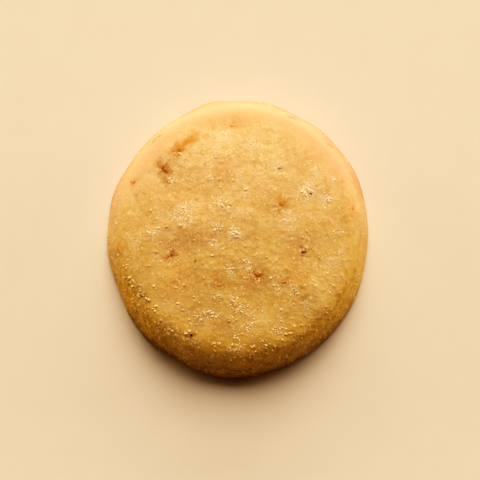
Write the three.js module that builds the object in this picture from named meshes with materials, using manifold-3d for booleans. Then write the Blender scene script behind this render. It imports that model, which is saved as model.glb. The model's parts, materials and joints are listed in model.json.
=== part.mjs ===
// An apricot cheese biscuit: one round of baked dough, a little longer than it is wide, with a nearly flat
// top, a soft shoulder all round and a flat underside. Bits of dried apricot lie in its top, and coarse
// grains of sugar and grated cheese stand on it. Millimetres, +Z up, the origin under the middle of the base.
import * as THREE from "three";
import { mergeVertices } from "three/addons/utils/BufferGeometryUtils.js";
import Module from "manifold-3d";

const wasm = await Module();
wasm.setup();

const { degToRad, smoothstep, lerp } = THREE.MathUtils;

// The round of dough
const WIDTH = 53.2;
const LENGTH = 57.2;
const LEAN = 8.7; // degrees that the long axis leans from +Y towards +X
const THICKNESS = 10.6;
const DOME = 1.55; // the middle of the top stands this much over the shoulder's start
const SHOULDER_WIDE = 7;
const SHOULDER_DEEP = 5.2;
const SHOULDER_FULL = 0.7; // how round the shoulder is: 0 is a straight bevel
const WALL_SPREAD = 1.3; // the wall goes this much outwards on its way down
const BASE_ROUND = 0.7;
const TURNS = 90; // steps round the dough
const TOP_RINGS = 8;
const SHOULDER_RINGS = 10;
const WALL_RINGS = 3;
const BASE_RINGS = 3;

// Corners of the outline, where the dough spread or drew in: angle in degrees from +X, move outwards, reach
const CORNERS = [
  [28, 0.35, 7],
  [66, -0.3, 7],
  [76, 0.25, 5],
  [102, 0.6, 6],
  [160, 0.45, 7],
  [206, -0.75, 11],
  [224, -0.25, 6],
  [241, -0.55, 8],
  [269, 0.35, 10],
  [351, -0.25, 10],
];
const CORNER_HEIGHT = 1.2; // above the base, where each of them is strongest

// Humps and dents of the top: x, y, rise, reach
const WAVES = [
  [-8, 0.8, 0.34, 7],
  [0, 2.2, 0.22, 6],
  [-12.5, -4.5, -0.2, 6],
  [-13, 10, -0.3, 6],
  [-3, 14.5, 0.25, 6],
  [-0.5, 21.5, -0.2, 4],
  [8.5, 7, 0.2, 6],
  [13, 0, 0.22, 6],
  [3, -12.5, -0.25, 8],
  [-12.5, -19.5, 0.25, 6],
  [-7.5, -17, -0.15, 5],
  [4.5, -21.5, 0.25, 6],
  [16, -12.5, 0.25, 7],
  [17, 10, 0.15, 6],
];

// Bits of apricot that show in the top: x, y, length, width, turn in degrees from +X
const BITS = [
  [-11.8, 16.2, 2.6, 1.7, 45],
  [-9.8, 17.9, 3.0, 1.5, 38],
  [-14.6, 12.2, 2.6, 1.6, -50],
  [-13.8, 9.7, 1.5, 1.1, 0],
  [8.6, 5.2, 2.2, 1.7, 25],
  [8.0, 3.7, 1.6, 1.2, 60],
  [3.9, -9.3, 2.5, 1.9, -20],
  [9.1, -10.5, 2.2, 1.1, 0],
  [-3.7, -11.2, 1.7, 1.5, 70],
  [-12.9, -5.2, 1.7, 1.3, 15],
  [-9.1, -21.0, 1.6, 1.2, -30],
  [-18.7, -13.0, 3.2, 1.4, -27],
];
const BIT_THICK = 0.9;
const BIT_PROUD = 0.15; // how far a bit stands above the dough
const BIT_WOBBLE = 0.16; // how uneven a bit's outline is, as a share of its size

// Coarse grains strewn over the top
const GRAINS = 156;
const GRAIN_SMALLEST = 0.2;
const GRAIN_LARGEST = 0.42;
const GRAIN_FLATNESS = 0.72;
const GRAIN_PROUD = 0.3; // share of its size that a grain's middle lies above the dough
const GRAIN_GAP = 1.5; // least distance between two middles
const DUST_THIN_Y = 12; // from here towards +Y the dusting is at its thinnest
const DUST_FULL_Y = -18; // and from here towards -Y at its fullest
const DUST_THIN = 0.3;
const DUST_RIM_THIN = 0.8; // share of the way out where the grains end, where they are thin
const DUST_RIM_FULL = 0.95;
const DUST_RIM_FADE = 0.08;
const SEED = 7201;

const WELD = 1e-5; // corners closer than this are one corner

// A geometry with its shared corners merged, only their places left, and no face shrunk to a line.
function welded(geometry) {
  geometry.deleteAttribute("normal");
  geometry.deleteAttribute("uv");
  const joined = mergeVertices(geometry, WELD);
  const corners = joined.index.array;
  const kept = [];
  for (let i = 0; i < corners.length; i += 3) {
    const face = corners.slice(i, i + 3);
    if (new Set(face).size === 3) kept.push(...face);
  }
  joined.setIndex(kept);
  return joined;
}

// Half of the biscuit's section: out along the top, down the shoulder and the wall, and back under the base.
function section() {
  const at = (x, z) => new THREE.Vector2(x, z);
  const rim = WIDTH / 2;
  const edge = THICKNESS - DOME;
  const start = at(rim - WALL_SPREAD - SHOULDER_WIDE, edge);
  const wallTop = at(rim - WALL_SPREAD, edge - SHOULDER_DEEP);
  const wallFoot = at(rim, BASE_ROUND);
  const level = at(start.x / 2, THICKNESS);
  const crest = start.clone().sub(level).setLength(SHOULDER_FULL * SHOULDER_WIDE).add(start);
  const side = wallTop.clone().sub(wallFoot).setLength(SHOULDER_FULL * SHOULDER_DEEP).add(wallTop);
  const top = new THREE.QuadraticBezierCurve(at(0, THICKNESS), level, start);
  const shoulder = new THREE.CubicBezierCurve(start, crest, side, wallTop);
  const wall = new THREE.LineCurve(wallTop, wallFoot);
  const foot = new THREE.QuadraticBezierCurve(wallFoot, at(rim, 0), at(rim - BASE_ROUND, 0));
  return [
    ...top.getPoints(TOP_RINGS).slice(0, -1),
    ...shoulder.getPoints(SHOULDER_RINGS).slice(0, -1),
    ...wall.getPoints(WALL_RINGS).slice(0, -1),
    ...foot.getPoints(BASE_RINGS),
    at(0, 0),
  ];
}

// The round of dough before it spread: the section turned about the upright axis.
function turnedSection() {
  const dough = new THREE.LatheGeometry(section().reverse(), TURNS);
  dough.rotateX(Math.PI / 2);
  return welded(dough);
}

// Moves what lies within reach of the middle, all the way at the middle and less and less outwards.
function push(geometry, middle, move, reach) {
  const place = geometry.attributes.position;
  const point = new THREE.Vector3();
  for (let i = 0; i < place.count; i++) {
    point.fromBufferAttribute(place, i);
    const near = 1 - point.distanceTo(middle) / reach;
    if (near <= 0) continue;
    point.addScaledVector(move, near * near * (3 - 2 * near));
    place.setXYZ(i, point.x, point.y, point.z);
  }
}

// The dough, cut oval, spread at its corners and waved on its top, over the middle of the base.
function doughShape() {
  const dough = turnedSection();
  dough.scale(1, LENGTH / WIDTH, 1);
  dough.rotateZ(-degToRad(LEAN));
  for (const [degrees, rise, reach] of CORNERS) {
    const out = new THREE.Vector3(Math.cos(degToRad(degrees)), Math.sin(degToRad(degrees)), 0);
    const radius = lerp(WIDTH, LENGTH, out.y * out.y) / 2;
    const middle = out.clone().multiplyScalar(radius).setZ(CORNER_HEIGHT);
    push(dough, middle, out.multiplyScalar(rise), reach);
  }
  for (const [x, y, rise, reach] of WAVES) {
    push(dough, new THREE.Vector3(x, y, THICKNESS - DOME), new THREE.Vector3(0, 0, rise), reach);
  }
  dough.computeBoundingBox();
  const middle = dough.boundingBox.getCenter(new THREE.Vector3());
  return dough.translate(-middle.x, -middle.y, 0);
}

// Turns a closed geometry into a solid for cutting and joining.
function solid(geometry) {
  return new wasm.Manifold(
    new wasm.Mesh({
      numProp: 3,
      vertProperties: new Float32Array(geometry.attributes.position.array),
      triVerts: new Uint32Array(geometry.index.array),
    }),
  );
}

// Park and Miller's draw: the same numbers between 0 and 1 on every run.
function drawFrom(seed) {
  const FACTOR = 48271;
  const MODULUS = 2147483647;
  let state = seed;
  return () => {
    state = (state * FACTOR) % MODULUS;
    return state / MODULUS;
  };
}

// Where the dough's surface lies straight under a point of the plane, and how it faces there.
function surfaceFinder(geometry) {
  const dough = new THREE.Mesh(geometry);
  const ray = new THREE.Raycaster();
  const down = new THREE.Vector3(0, 0, -1);
  return (x, y) => {
    ray.set(new THREE.Vector3(x, y, 2 * THICKNESS), down);
    const [hit] = ray.intersectObject(dough);
    return { point: hit.point, normal: hit.face.normal };
  };
}

// How readily grains lie at a point: most towards -Y, and none on the smooth rim at +Y.
function dusting(x, y) {
  const share = Math.hypot(x / WIDTH, y / LENGTH) * 2;
  const full = smoothstep(-y, -DUST_THIN_Y, -DUST_FULL_Y);
  const limit = lerp(DUST_RIM_THIN, DUST_RIM_FULL, full);
  return lerp(DUST_THIN, 1, full) * (1 - smoothstep(share, limit - DUST_RIM_FADE, limit));
}

// Middles, sizes and turns of the coarse grains.
function scatter() {
  const random = drawFrom(SEED);
  const grains = [];
  while (grains.length < GRAINS) {
    const x = (random() - 0.5) * WIDTH;
    const y = (random() - 0.5) * LENGTH;
    const keep = random() < dusting(x, y);
    const clear = grains.every((g) => Math.hypot(g.x - x, g.y - y) > GRAIN_GAP);
    if (!keep || !clear) continue;
    const size = lerp(GRAIN_SMALLEST, GRAIN_LARGEST, random() ** 2);
    grains.push({ x, y, size, turn: random() * Math.PI });
  }
  return grains;
}

// A grain sunk into the surface at its place.
function grainShape(grain, surfaceAt) {
  const { point, normal } = surfaceAt(grain.x, grain.y);
  const shape = welded(new THREE.IcosahedronGeometry(1, 0));
  shape.scale(grain.size, grain.size * GRAIN_FLATNESS, grain.size * GRAIN_FLATNESS);
  shape.rotateZ(grain.turn);
  shape.translate(0, 0, grain.size * GRAIN_PROUD);
  return standOn(shape, point, normal);
}

// Moves a shape made at the origin to a point, with its +Z along the normal there.
function standOn(shape, point, normal) {
  const upright = new THREE.Quaternion().setFromUnitVectors(new THREE.Vector3(0, 0, 1), normal);
  shape.applyQuaternion(upright);
  return shape.translate(point.x, point.y, point.z);
}

// A flattish uneven bit of fruit, most of it inside the dough.
function bitShape([x, y, length, width, turn], surfaceAt) {
  const shape = welded(new THREE.IcosahedronGeometry(1, 1));
  const place = shape.attributes.position;
  for (let i = 0; i < place.count; i++) {
    const angle = Math.atan2(place.getY(i), place.getX(i));
    const swell = 1 + BIT_WOBBLE * Math.sin(3 * angle + x) + BIT_WOBBLE * Math.sin(2 * angle + y);
    place.setXYZ(i, place.getX(i) * swell, place.getY(i) * swell, place.getZ(i));
  }
  shape.scale(length / 2, width / 2, BIT_THICK / 2);
  shape.rotateZ(degToRad(turn));
  shape.translate(0, 0, BIT_PROUD - BIT_THICK / 2);
  const { point, normal } = surfaceAt(x, y);
  return standOn(shape, point, normal);
}

// The whole biscuit: the dough with its bits and grains joined on.
function biscuitShape() {
  const dough = doughShape();
  const surfaceAt = surfaceFinder(dough);
  let biscuit = solid(dough);
  for (const bit of BITS) biscuit = biscuit.add(solid(bitShape(bit, surfaceAt)));
  for (const grain of scatter()) biscuit = biscuit.add(solid(grainShape(grain, surfaceAt)));
  const mesh = biscuit.getMesh();
  const shape = new THREE.BufferGeometry();
  shape.setAttribute("position", new THREE.BufferAttribute(mesh.vertProperties, 3));
  shape.setIndex(new THREE.BufferAttribute(mesh.triVerts, 1));
  shape.computeVertexNormals();
  return shape;
}

const crust = new THREE.MeshStandardMaterial({ color: "#dba552", roughness: 0.78, metalness: 0 });
const biscuit = new THREE.Mesh(biscuitShape(), crust);
biscuit.name = "biscuit";

const part = new THREE.Group();
part.add(biscuit);

export default part;
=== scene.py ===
# %% [markdown]
# An apricot cheese biscuit, baked golden. The real one is a round of shortbread dough, cut with a plain
# cutter, that slumped a little in the oven: a nearly flat top, soft shoulders, a wall that leans out to a
# browned foot. Coarse crystals and a fine floury dust lie on it, and bits of dried apricot show in its top.
# The imported solid gives the size and the frame. The looks are modelled here round it.

# %% Load the imported solid
import json
import math

import bmesh
import bpy
import numpy as np
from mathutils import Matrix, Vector
from mathutils.bvhtree import BVHTree

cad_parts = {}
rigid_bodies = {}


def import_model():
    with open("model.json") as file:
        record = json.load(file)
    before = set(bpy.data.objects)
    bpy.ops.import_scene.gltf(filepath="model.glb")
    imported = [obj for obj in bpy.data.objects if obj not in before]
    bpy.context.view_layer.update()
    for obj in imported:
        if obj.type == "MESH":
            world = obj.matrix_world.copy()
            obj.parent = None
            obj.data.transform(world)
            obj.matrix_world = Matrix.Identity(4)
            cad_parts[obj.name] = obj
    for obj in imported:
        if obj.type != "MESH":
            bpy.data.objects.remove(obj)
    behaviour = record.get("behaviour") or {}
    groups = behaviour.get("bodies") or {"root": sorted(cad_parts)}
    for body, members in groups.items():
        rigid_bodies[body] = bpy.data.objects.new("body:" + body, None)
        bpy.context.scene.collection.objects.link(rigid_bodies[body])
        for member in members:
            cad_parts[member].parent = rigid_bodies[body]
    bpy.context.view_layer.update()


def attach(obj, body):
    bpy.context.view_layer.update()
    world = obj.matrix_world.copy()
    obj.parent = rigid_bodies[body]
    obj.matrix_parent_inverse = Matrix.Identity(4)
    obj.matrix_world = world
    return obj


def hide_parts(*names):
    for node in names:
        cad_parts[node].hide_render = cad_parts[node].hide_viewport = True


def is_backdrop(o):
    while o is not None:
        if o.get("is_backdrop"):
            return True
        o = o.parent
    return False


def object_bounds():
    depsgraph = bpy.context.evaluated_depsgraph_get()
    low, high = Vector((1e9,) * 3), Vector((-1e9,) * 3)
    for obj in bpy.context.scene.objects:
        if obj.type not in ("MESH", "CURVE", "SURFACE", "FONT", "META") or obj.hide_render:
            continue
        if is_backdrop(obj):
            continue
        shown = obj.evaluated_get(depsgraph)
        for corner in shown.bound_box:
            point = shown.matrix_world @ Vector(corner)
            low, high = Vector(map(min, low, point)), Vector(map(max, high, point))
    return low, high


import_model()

MM = 0.001
bpy.ops.object.select_all(action="DESELECT")


# %% [markdown]
# Every piece is made the same way: a primitive is added, edited, and finished with modifiers that are
# applied. Three small helpers keep that short. One enters edit mode on a piece with nothing selected, one
# selects vertices by a rule on their place, and one applies a modifier as soon as its values are set.

# %% Helpers for editing a piece
def active():
    return bpy.context.view_layer.objects.active


def only(piece):
    """Selects this piece alone and makes it the active one."""
    bpy.ops.object.select_all(action="DESELECT")
    piece.select_set(True)
    bpy.context.view_layer.objects.active = piece


def pick(piece, rule):
    """In edit mode, selects the vertices whose place in millimetres passes the rule."""
    mesh = bmesh.from_edit_mesh(piece.data)
    for vertex in mesh.verts:
        vertex.select = bool(rule(vertex.co / MM))
    mesh.select_flush_mode()
    bmesh.update_edit_mesh(piece.data)


def finish_with(piece, kind, **values):
    """Adds a modifier with these values and applies it."""
    modifier = piece.modifiers.new(kind.lower(), kind)
    for name, value in values.items():
        setattr(modifier, name, value)
    bpy.ops.object.modifier_apply(modifier=modifier.name)


# %% [markdown]
# A camera that looks nearly straight down, as if held over a table and leaning a little towards the near
# edge, sees the near wall and hides the far one. The distance follows from the lens: a frame as wide as
# FRAME_WIDE at the aimed point.

# %% The camera
FRAME_WIDE = 96.0
LENS = 85.0
SENSOR = 36.0
CAMERA_LEAN = math.radians(10)
AIM = Vector((0.47, -1.33, 4.6))

away = FRAME_WIDE * LENS / SENSOR
back = Vector((0, -math.sin(CAMERA_LEAN), math.cos(CAMERA_LEAN)))
bpy.ops.object.camera_add(location=(AIM + back * away) * MM, rotation=(CAMERA_LEAN, 0, 0))
camera = active()
camera.name = "camera"
camera.data.lens = LENS
camera.data.sensor_width = SENSOR
camera.data.clip_start = 0.01
bpy.context.scene.camera = camera
print("camera stands", round(away), "mm from the biscuit")


# %% [markdown]
# The dough's section is a gentle dome, a full shoulder and a wall that leans outwards, the same curves as
# the solid's. A section like this could be spun round an axis, but a round of dough is easier to read as
# what it is: a flat disc whose top is raised and drawn in, ring by ring. So the script starts from a
# circle and extrudes its face upwards along the section.

# %% The section of the dough, from the foot to the top
WIDTH = 53.2
LENGTH = 57.2
LEAN = math.radians(8.7)
THICKNESS = 10.6
DOME = 1.55
SHOULDER_WIDE = 7.0
SHOULDER_DEEP = 5.2
SHOULDER_FULL = 0.7
WALL_SPREAD = 1.3
BASE_ROUND = 0.7
LOW_STEPS, HIGH_STEPS = 4, 10


def bezier(points, steps):
    """Places along a curve with any number of control points."""
    found = []
    for step in range(steps + 1):
        row = [Vector(point) for point in points]
        while len(row) > 1:
            row = [a.lerp(b, step / steps) for a, b in zip(row, row[1:])]
        found.append(row[0])
    return found


def section():
    rim = WIDTH / 2
    edge = THICKNESS - DOME
    start = Vector((rim - WALL_SPREAD - SHOULDER_WIDE, edge))
    wall_top = Vector((rim - WALL_SPREAD, edge - SHOULDER_DEEP))
    wall_foot = Vector((rim, BASE_ROUND))
    level = Vector((start.x / 2, THICKNESS))
    crest = start + (start - level).normalized() * SHOULDER_FULL * SHOULDER_WIDE
    side = wall_top + (wall_top - wall_foot).normalized() * SHOULDER_FULL * SHOULDER_DEEP
    foot = bezier([(rim - BASE_ROUND, 0), (rim, 0), wall_foot], LOW_STEPS)
    wall = bezier([wall_foot, wall_top], LOW_STEPS)
    shoulder = bezier([wall_top, side, crest, start], HIGH_STEPS)
    top = bezier([start, level, (0, THICKNESS)], HIGH_STEPS)
    return foot[:-1] + wall[:-1] + shoulder[:-1] + top


rings = section()
print("the section has", len(rings), "rings")

# %% The dough, raised ring by ring from a circle
SIDES = 144

bpy.ops.mesh.primitive_circle_add(vertices=SIDES, radius=rings[0].x * MM, fill_type="NGON")
dough = active()
dough.name = "dough"
bpy.ops.object.mode_set(mode="EDIT")
bpy.ops.mesh.select_all(action="SELECT")
for below, above in zip(rings, rings[1:-1]):
    rise = (above.y - below.y) * MM
    bpy.ops.mesh.extrude_region_move(TRANSFORM_OT_translate={"value": (0, 0, rise)})
    narrower = above.x / below.x
    bpy.ops.transform.resize(value=(narrower, narrower, 1), center_override=(0, 0, above.y * MM))
rise = (rings[-1].y - rings[-2].y) * MM
bpy.ops.mesh.extrude_region_move(TRANSFORM_OT_translate={"value": (0, 0, rise)})
bpy.ops.mesh.merge(type="CENTER")
bpy.ops.mesh.select_all(action="SELECT")
bpy.ops.mesh.normals_make_consistent(inside=False)

# The cut round is a little longer one way, and that way leans to the right of straight ahead.
bpy.ops.transform.resize(value=(1, LENGTH / WIDTH, 1), center_override=(0, 0, 0))
bpy.ops.object.mode_set(mode="OBJECT")
dough.rotation_euler.z = -LEAN
bpy.ops.object.transform_apply()
print("dough:", len(dough.data.polygons), "faces")


# %% [markdown]
# No baked round stays true. It spreads further at some places of its foot, and its top sinks and swells
# where the dough was thin or thick. By hand this is proportional editing: one point is moved, and what
# lies near goes along, less and less outwards. A loose vertex is the handle, put exactly where the push
# is strongest, and deleted after it.

# %% Pushes at the foot and on the top
CORNERS = [  # angle from +X, how far outwards, reach
    (28, 0.35, 7), (66, -0.3, 7), (76, 0.25, 5), (102, 0.6, 6), (160, 0.45, 7),
    (206, -0.75, 11), (224, -0.25, 6), (241, -0.55, 8), (269, 0.35, 10), (351, -0.25, 10),
]
CORNER_HEIGHT = 1.2
WAVES = [  # x, y, rise, reach
    (-8, 0.8, 0.34, 7), (0, 2.2, 0.22, 6), (-12.5, -4.5, -0.2, 6), (-13, 10, -0.3, 6),
    (-3, 14.5, 0.25, 6), (-0.5, 21.5, -0.2, 4), (8.5, 7, 0.2, 6), (13, 0, 0.22, 6),
    (3, -12.5, -0.25, 8), (-12.5, -19.5, 0.25, 6), (-7.5, -17, -0.15, 5), (4.5, -21.5, 0.25, 6),
    (16, -12.5, 0.25, 7), (17, 10, 0.15, 6), (-18.1, -17.5, 0.35, 4.5), (-9.6, -24.7, 0.6, 4.3),
    (0, -25.9, 0.65, 4.3), (9.6, -24.7, 0.6, 4.3), (18.1, -17, 0.5, 4.5),
]


def push(piece, place, move, reach):
    mesh = bmesh.from_edit_mesh(piece.data)
    for vertex in mesh.verts:
        vertex.select = False
    mesh.select_flush(False)
    handle = mesh.verts.new(Vector(place) * MM)
    handle.select = True
    bmesh.update_edit_mesh(piece.data)
    bpy.ops.transform.translate(
        value=Vector(move) * MM,
        use_proportional_edit=True,
        proportional_edit_falloff="SMOOTH",
        proportional_size=reach * MM,
    )
    bpy.ops.mesh.delete(type="VERT")


only(dough)
bpy.ops.object.mode_set(mode="EDIT")
bpy.ops.mesh.select_mode(type="VERT")
for degrees, outwards, reach in CORNERS:
    out = Vector((math.cos(math.radians(degrees)), math.sin(math.radians(degrees)), 0))
    radius = (WIDTH + (LENGTH - WIDTH) * out.y ** 2) / 2
    push(dough, out * radius + Vector((0, 0, CORNER_HEIGHT)), out * outwards, reach)
for x, y, rise, reach in WAVES:
    push(dough, (x, y, THICKNESS - DOME), (0, 0, rise), reach)
bpy.ops.object.mode_set(mode="OBJECT")

# The origin is the middle of the foot's box.
corners = [Vector(corner) for corner in dough.bound_box]
middle = (corners[0] + corners[6]) / 2
dough.location = (-middle.x, -middle.y, 0)
bpy.ops.object.transform_apply()
print("dough is", [round(size / MM, 2) for size in dough.dimensions], "mm")


# %% [markdown]
# The crumb needs small even faces to stand on. Subdividing alone would crowd them round the middle, so
# the smooth shape is remeshed into even cells of about a quarter of a millimetre. The foot is then
# flattened again, because the biscuit lies on it.

# %% Even fine faces
CELL = 0.26
FOOT_FLAT = 0.12

only(dough)
finish_with(dough, "SUBSURF", levels=2, render_levels=2)
finish_with(dough, "REMESH", mode="VOXEL", voxel_size=CELL * MM)
bpy.ops.object.mode_set(mode="EDIT")
pick(dough, lambda place: place.z < FOOT_FLAT)
bpy.ops.transform.resize(value=(1, 1, 0), center_override=(0, 0, 0))
bpy.ops.mesh.select_all(action="DESELECT")
bpy.ops.object.mode_set(mode="OBJECT")
bpy.ops.object.shade_smooth()
print("dough:", len(dough.data.polygons), "even faces")


# %% [markdown]
# Materials and geometry nodes are both built from nodes. One function adds a node, sets what is not a
# link, and makes the links that come into it, so that each finish reads as a short list.

# %% A helper for nodes and one for colours
def add(tree, kind, links=(), values=(), **settings):
    """Adds a node: settings are its own properties, values its unlinked sockets, links its inputs."""
    node = tree.nodes.new(kind)
    for name, value in settings.items():
        setattr(node, name, value)
    for socket, value in dict(values).items():
        node.inputs[socket].default_value = value
    for socket, source in dict(links).items():
        tree.links.new(source, node.inputs[socket])
    return node


def colour(code):
    """A linear colour from an sRGB hex code."""
    parts = [int(code[i:i + 2], 16) / 255 for i in (1, 3, 5)]
    linear = [p / 12.92 if p <= 0.04045 else ((p + 0.055) / 1.055) ** 2.4 for p in parts]
    return (*linear, 1.0)


# %% [markdown]
# Baked shortbread is not smooth: butter and flour leave a sandy crumb with small pits, and gas lifts the
# skin here and there. Shader bump alone would vanish at the outline, so the relief is moved into the mesh
# by a Geometry Nodes modifier: broad unevenness, crumbs of about a millimetre, sand below that, and pits
# where a cellular pattern is deep. The far rim baked smoother, and the foot stays flat. How strong the
# relief is at a vertex is a product of soft steps, each from 0 at its first number to 1 at its second. They
# run along x to the right, y to the far edge and z upwards, in millimetres, or outwards, where a share of 1
# is the outline.

# %% Helpers for geometry nodes
def new_geometry_tree(name):
    tree = bpy.data.node_groups.new(name, "GeometryNodeTree")
    tree.interface.new_socket("Geometry", in_out="INPUT", socket_type="NodeSocketGeometry")
    tree.interface.new_socket("Geometry", in_out="OUTPUT", socket_type="NodeSocketGeometry")
    return tree, add(tree, "NodeGroupInput").outputs[0], add(tree, "NodeGroupOutput")


def math_node(tree, operation, first, second, clamp=False):
    node = add(tree, "ShaderNodeMath", operation=operation, use_clamp=clamp)
    for socket, value in zip(node.inputs, (first, second)):
        if isinstance(value, (int, float)):
            socket.default_value = value
        else:
            tree.links.new(value, socket)
    return node.outputs[0]


def noise(tree, place, wide, detail=2.0, rough=0.5):
    """Noise whose lumps are about this many millimetres wide, from 0 to 1."""
    values = {"Scale": 1 / (wide * MM), "Detail": detail, "Roughness": rough}
    return add(tree, "ShaderNodeTexNoise", {"Vector": place}, values).outputs[0]


# %% Helpers for values painted on vertices
def write_values(piece, name, values):
    """Paints one number for each vertex, which nodes read by its name."""
    layer = piece.data.attributes.new(name, "FLOAT", "POINT")
    layer.data.foreach_set("value", np.asarray(values, dtype=np.float32))


def places(piece):
    """The vertices of a piece in millimetres, as columns x, y and z."""
    flat = np.empty(len(piece.data.vertices) * 3, dtype=np.float32)
    piece.data.vertices.foreach_get("co", flat)
    return flat.reshape(-1, 3).astype(float).T / MM


def ease(value, low, high):
    """0 below low, 1 above high, and smooth between them."""
    t = np.clip((value - low) / (high - low), 0, 1)
    return t * t * (3 - 2 * t)


# %% The crumb as relief
UNEVEN_WIDE, UNEVEN_HIGH = 4.5, 0.12
CRUMB_WIDE, CRUMB_HIGH = 1.1, 0.06
SAND_WIDE, SAND_HIGH = 0.5, 0.06
PIT_WIDE, PIT_DEEP, PIT_RIM = 1.9, 0.07, 0.22
SMOOTH_RIM, ROUGH_WALL = 0.35, 1.8
HIGH_UP = (4.0, 6.5)

x, y, z = places(dough)
out_share = np.hypot(x / WIDTH, y / LENGTH) * 2
far_rim = ease(out_share, 0.55, 0.88) * ease(y, -6, 12) * ease(z, *HIGH_UP)
near_wall = ease(-y, 4, 18) * ease(-z, -9, -6.5)
crumb = (1 - (1 - SMOOTH_RIM) * far_rim) * (1 + (ROUGH_WALL - 1) * near_wall)
write_values(dough, "open_crumb", ease(z, 0.1, 1.0) * crumb)

relief, shape, out_node = new_geometry_tree("crumb relief")
place = add(relief, "GeometryNodeInputPosition").outputs[0]
uneven = math_node(relief, "SUBTRACT", noise(relief, place, UNEVEN_WIDE), 0.5)
crumbs = math_node(relief, "SUBTRACT", noise(relief, place, CRUMB_WIDE, 3.0, 0.55), 0.5)
sand = math_node(relief, "SUBTRACT", noise(relief, place, SAND_WIDE, 2.0, 0.6), 0.5)
cells = add(relief, "ShaderNodeTexVoronoi", {"Vector": place}, {"Scale": 1 / (PIT_WIDE * MM)})
pits = math_node(relief, "SUBTRACT", PIT_RIM, cells.outputs["Distance"], clamp=True)
height = math_node(relief, "MULTIPLY", uneven, UNEVEN_HIGH * 2 * MM)
for layer, high in ((crumbs, CRUMB_HIGH * 2), (sand, SAND_HIGH * 2), (pits, -PIT_DEEP / PIT_RIM)):
    height = math_node(relief, "ADD", height, math_node(relief, "MULTIPLY", layer, high * MM))
open_crumb = add(relief, "GeometryNodeInputNamedAttribute", values={"Name": "open_crumb"})
height = math_node(relief, "MULTIPLY", height, open_crumb.outputs[0])
normal = add(relief, "GeometryNodeInputNormal").outputs[0]
moved = add(relief, "ShaderNodeVectorMath", {"Vector": normal, "Scale": height}, operation="SCALE")
raised = add(relief, "GeometryNodeSetPosition", {"Geometry": shape, "Offset": moved.outputs[0]})
relief.links.new(raised.outputs[0], out_node.inputs[0])

only(dough)
finish_with(dough, "NODES", node_group=relief)
print("dough with its crumb is", [round(size / MM, 2) for size in dough.dimensions], "mm")


# %% [markdown]
# The colour of the top changes over a few millimetres. Fat from the cheese browns in warm patches, flour
# and sugar leave pale ones, and each bit of fruit has stained the dough round it, from clear orange to
# nearly black where it caught the heat. A painter would dab these on, and so does this cell: each dab is a
# place, a size and a strength, laid down with a soft ragged edge. Where spots overlap, the stronger wins.

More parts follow.
